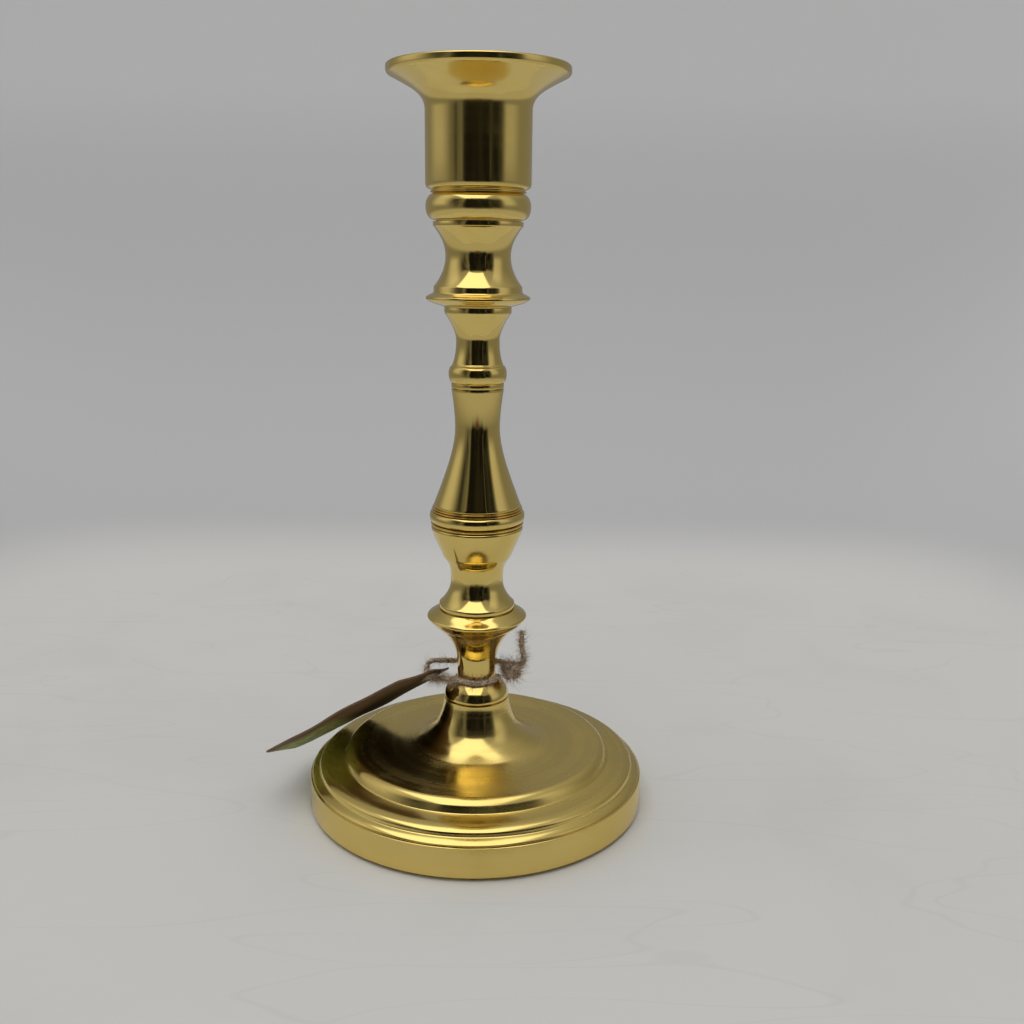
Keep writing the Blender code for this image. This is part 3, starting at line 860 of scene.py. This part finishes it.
def card(length, width):
    """The tag's two faces and the walls round them: its points, its quads, and its s and t for each point."""
    upward = tag_axes()[2]
    middle, s, t = tag_surface(length, width)
    middle = cut_hole(middle, s, t)
    points = np.stack((middle + upward * TAG_THICK / 2, middle - upward * TAG_THICK / 2)).reshape(-1, 3)
    numbers = np.arange(s.size).reshape(s.shape)
    cells = np.stack((numbers[:-1, :-1], numbers[1:, :-1], numbers[1:, 1:], numbers[:-1, 1:]), axis=-1)
    off_hole = np.hypot((s[:-1, :-1] + s[1:, 1:]) / 2 - HOLE_AT, (t[:-1, :-1] + t[1:, 1:]) / 2) >= HOLE_R - 0.15
    top = cells[off_hole]
    edges = dict.fromkeys(map(tuple, np.concatenate([top[:, [k, (k + 1) % 4]] for k in range(4)]).tolist()))
    rim = np.array([(a, b) for a, b in edges if (b, a) not in edges])
    walls = np.column_stack((rim[:, 1], rim[:, 0], rim[:, 0] + s.size, rim[:, 1] + s.size))
    return points, np.vstack((top, top[:, ::-1] + s.size, walls)), s, t


# ---- operators

def node_body(name):
    """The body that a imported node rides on."""
    return next(body for body, nodes in frame["record"]["behaviour"]["bodies"].items() if name in nodes)


def stand_for(made, name):
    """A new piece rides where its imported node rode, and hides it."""
    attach(made, node_body(name))
    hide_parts(name)


def point_mask(made, name, values):
    """One number for each point, which a material reads by its name."""
    made.data.attributes.new(name, "FLOAT", "POINT").data.foreach_set("value", values.astype(np.float32))


class CANDLESTICK_OT_sections(bpy.types.Operator):
    """Turns the eight visible brass sections, fine enough for mirror reflections"""

    bl_idname = "candlestick.sections"
    bl_label = "Brass Sections"

    def execute(self, context):
        steps = context.scene.candlestick_brass.steps
        for name, (profile, finish) in SECTIONS.items():
            made = lathe("turned_" + name, profile(), steps)
            finish_piece(made, finish())
            stand_for(made, name)
        return {"FINISHED"}


class CANDLESTICK_OT_clamp(bpy.types.Operator):
    """Gives the rod, washers and nut inside their plated finish"""

    bl_idname = "candlestick.clamp"
    bl_label = "Rod and Nut"

    def execute(self, context):
        for name in ("tie_rod", "flat_washer", "spring_washer", "hex_nut"):
            own_material(bpy.data.objects[name], plated_steel())
        return {"FINISHED"}


class CANDLESTICK_OT_twine(bpy.types.Operator):
    """Winds the jute twine round the neck, with its knot, its frayed tail and its loose fibres"""

    bl_idname = "candlestick.twine"
    bl_label = "Jute Twine"

    def execute(self, context):
        radius = context.scene.candlestick_tie.twine_diameter / 2 / MM
        path, length = smooth_path(twine_route())
        low, high = (np.array(corner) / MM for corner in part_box("twine_knot"))
        wound = knot_path((low + high) / 2, (high - low) / 2)
        loose = merge_parts([fuzz(path, radius, 1300, 2.2, 11), fuzz(wound, radius, 1300, 3.3, 12, 0.06),
                             fuzz(path[TWINE_TAIL], radius, 300, 2.4, 13),
                             fuzz(path[TWINE_AT_TAG], radius, 600, 2.6, 14, 0.06)])
        made, knot, hairs = (
            mesh_object(name, points * MM, quads, triangles) for name, (points, quads, triangles) in (
                ("jute_twine", capped_tube(stranded(path, radius))),
                ("twine_knot_wound", capped_tube(stranded(wound, radius * 0.92, seed=7))),
                ("twine_loose_fibres", loose)))
        for piece in (made, knot, hairs):
            finish_piece(piece, jute_material(), 60)
        stand_for(made, "twine")
        stand_for(knot, "twine_knot")
        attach(hairs, "twine")

        return {"FINISHED"}


class CANDLESTICK_OT_tag(bpy.types.Operator):
    """Cuts the curled card tag, brown above and olive green below, with its punched hole"""

    bl_idname = "candlestick.tag"
    bl_label = "Card Tag"

    def execute(self, context):
        tie = context.scene.candlestick_tie
        points, quads, s, t = card(tie.tag_length / MM, tie.tag_width / MM)
        used, fresh = np.unique(quads, return_inverse=True)
        made = mesh_object("card_tag", points[used] * MM, fresh.reshape(quads.shape))
        point_mask(made, "under", used >= s.size)
        point_mask(made, "along", np.tile(s.ravel() / s.max(), 2)[used])
        point_mask(made, "across", np.tile(t.ravel() / t.max(), 2)[used])
        finish_piece(made, card_material(), 40)
        stand_for(made, "hang_tag")
        return {"FINISHED"}


def studio_world(look):
    """The light tent, by the direction it is seen in: pale walls and ceiling, a dark opening at the front
    where somebody stands, and a lamp panel above it. What the camera sees directly is plain grey.

    Directions are degrees sideways from the front, to the right, and degrees of height."""
    world = bpy.data.worlds.new("light tent")
    bpy.context.scene.world = world
    world.use_nodes = True
    tree = world.node_tree
    tree.nodes.clear()
    way = node(tree, "ShaderNodeTexCoord").outputs["Generated"]
    east, north, rise = apart(way)
    front = times(north, -1.0)
    sideways = times(math_node("ARCTAN2", east, front), DEGREES)
    height = times(math_node("ARCSINE", rise), DEGREES)
    # walls: brighter cloths left and right of the front, and a soft rise towards the ceiling
    cloths = plus(window(sideways, (-128.0, -96.0), (-86.0, -60.0), look.left_cloth),
                  window(sideways, (54.0, 64.0), (74.0, 104.0), look.right_cloth))
    cloths = times(cloths, window(height, (-4.0, 12.0), (42.0, 62.0)))
    light = plus(plus(cloths, look.wall_light), band(height, 18.0, 60.0, 0.0, 0.17))
    light = plus(light, band(height, 54.0, 70.0, 0.0, look.ceiling_light))
    light = mix_values(band(height, -22.0, -10.0), look.far_floor, light)
    # the opening: a dim cluttered room each side of a black middle, with two thin lit edges
    stretched = node(tree, "ShaderNodeMapping", {"Scale": (4.2, 4.2, 1.5)})
    wire((way, stretched.inputs["Vector"]))
    clutter = band(noise(stretched.outputs[0], 1.0, Detail=2.0, Roughness=0.5), 0.38, 0.64, 0.35, 1.9)
    room = times(window(sideways, (-70.0, -50.0), (48.0, 63.0)), window(height, (-15.0, -6.0), (31.0, 39.0)))
    light = mix_values(room, light, times(clutter, band(sideways, -30.0, 30.0, 0.075, 0.022)))
    core = times(window(sideways, (-29.0, -26.0), (29.0, 31.0)), window(height, (-19.0, -9.0), (37.0, 41.0)))
    light = mix_values(core, light, band(clutter, 1.0, 1.9, 0.009, 0.02))
    edges = plus(window(sideways, (26.0, 27.0), (28.0, 29.0), 0.1),
                 window(sideways, (-36.0, -34.0), (-32.0, -30.0), 0.06))
    light = plus(light, times(edges, window(height, (-8.0, 2.0), (28.0, 34.0))))
    # the lamp: a soft rectangle on the ceiling, found by dividing the direction by its rise
    risen = math_node("MAXIMUM", rise, 0.2)
    panel = times(window(math_node("DIVIDE", east, risen), (-0.72, -0.62), (0.33, 0.43)),
                  window(math_node("DIVIDE", front, risen), (-0.4, -0.2), (1.0, 1.1)))
    light = mix_values(panel, light, look.lamp_light)
    # a narrow dim reddish tongue below the opening, as of somebody's legs
    tongue = times(window(sideways, (-13.0, -2.0), (2.0, 13.0)), window(height, (-20.0, -13.0), (-12.0, -8.0)))
    light = mix_values(tongue, light, 0.09)
    tint = mix_colours(tongue, (1.0, 0.995, 0.985), (1.0, 0.55, 0.45))
    tent = node(tree, "ShaderNodeBackground")
    plain = node(tree, "ShaderNodeBackground", {"Color": (0.36, 0.36, 0.362, 1.0), "Strength": 1.0})
    either = node(tree, "ShaderNodeMixShader")
    wire((tint, tent.inputs["Color"]), (light, tent.inputs["Strength"]),
         (node(tree, "ShaderNodeLightPath").outputs["Is Camera Ray"], either.inputs[0]),
         (tent.outputs[0], either.inputs[1]), (plain.outputs[0], either.inputs[2]),
         (either.outputs[0], node(tree, "ShaderNodeOutputWorld").inputs["Surface"]))


def studio_camera(look):
    """A camera a little above and in front of the stick, tipped down and rolled by less than a degree."""
    pitch, roll = math.radians(CAMERA_PITCH), math.radians(CAMERA_ROLL)
    forward = Vector((0, math.cos(pitch), -math.sin(pitch)))
    up = Vector((0, math.sin(pitch), math.cos(pitch)))
    right = Vector((1, 0, 0))
    rolled_right = right * math.cos(roll) + up * math.sin(roll)
    rolled_up = up * math.cos(roll) - right * math.sin(roll)
    axes = Matrix((rolled_right, rolled_up, -forward)).transposed().to_4x4()
    data = bpy.data.cameras.new("studio camera")
    data.lens, data.sensor_width, data.clip_start = look.lens, 36.0, 0.01
    made = bpy.data.objects.new("studio camera", data)
    made.matrix_world = Matrix.Translation(Vector(CAMERA_AT) * MM) @ axes
    bpy.context.scene.collection.objects.link(made)
    bpy.context.scene.camera = made


def swept_square(name, r, z, material, steps=240):
    """Carries a profile round +Z in a square with very round corners.

    The reach in direction a is r / (|cos a| ** 6 + |sin a| ** 6) ** (1 / 6).
    """
    turn = np.arange(steps) * math.tau / steps
    reach = r[:, None] / (np.abs(np.cos(turn)) ** 6 + np.abs(np.sin(turn)) ** 6) ** (1 / 6)
    points = np.stack((reach * np.cos(turn), reach * np.sin(turn), z[:, None] + 0 * turn), axis=-1)
    numbers, beside = ring_grid(len(r), steps)
    quads = np.stack((numbers[:-1], numbers[1:], beside[1:], beside[:-1]), axis=-1).reshape(-1, 4)
    made = mesh_object(name, points.reshape(-1, 3), quads)
    made.data.shade_smooth()
    own_material(made, material)
    return made


class CANDLESTICK_OT_studio(bpy.types.Operator):
    """Sets the pale floor, the backdrop, the light tent and the camera"""

    bl_idname = "candlestick.studio"
    bl_label = "Studio"

    def execute(self, context):
        look = context.scene.candlestick_studio
        flat = np.linspace(0.0002, FLOOR_R, 24)
        floor = swept_square("studio_floor", flat, 0 * flat, board_material())
        angle = np.linspace(0, math.pi / 2, 48)
        wall = np.linspace(COVE_R, WALL_TOP, 12)[1:]
        out = np.concatenate((FLOOR_R + COVE_R * np.sin(angle), 0 * wall + FLOOR_R + COVE_R))
        up = np.concatenate((COVE_R * (1 - np.cos(angle)), wall))
        cove = swept_square("studio_cove", out, up, board_material())
        cove.visible_diffuse = cove.visible_glossy = cove.visible_shadow = False
        studio_world(look)
        studio_camera(look)
        context.scene.view_settings.view_transform = "Standard"
        return {"FINISHED"}


class CANDLESTICK_PT_panel(bpy.types.Panel):
    """Lists the steps that build the candlestick, and their settings"""

    bl_idname = "CANDLESTICK_PT_panel"
    bl_label = "Brass Candlestick"
    bl_space_type = "VIEW_3D"
    bl_region_type = "UI"
    bl_category = "Candlestick"

    def draw(self, context):
        layout = self.layout
        for name in SETTINGS:
            settings, box = getattr(context.scene, name), layout.box()
            for prop in settings.bl_rna.properties:
                if prop.identifier not in ("rna_type", "name"):
                    box.prop(settings, prop.identifier)
        for step in STEPS:
            layout.operator(step.bl_idname)


SETTINGS = {
    "candlestick_brass": BrassSettings,
    "candlestick_tie": TieSettings,
    "candlestick_studio": StudioSettings,
}
STEPS = (CANDLESTICK_OT_studio, CANDLESTICK_OT_sections, CANDLESTICK_OT_clamp, CANDLESTICK_OT_tag,
         CANDLESTICK_OT_twine)
CLASSES = (*SETTINGS.values(), *STEPS, CANDLESTICK_PT_panel)


def register():
    """Makes the settings, steps and panel known."""
    for cls in CLASSES:
        bpy.utils.register_class(cls)
    for name, cls in SETTINGS.items():
        setattr(bpy.types.Scene, name, PointerProperty(type=cls))


def unregister():
    """Takes them away again."""
    for name in SETTINGS:
        delattr(bpy.types.Scene, name)
    for cls in reversed(CLASSES):
        bpy.utils.unregister_class(cls)


def main():
    """Builds everything in order."""
    register()
    bpy.ops.candlestick.studio()
    bpy.ops.candlestick.sections()
    bpy.ops.candlestick.clamp()
    bpy.ops.candlestick.tag()
    bpy.ops.candlestick.twine()


if __name__ == "__main__":
    main()
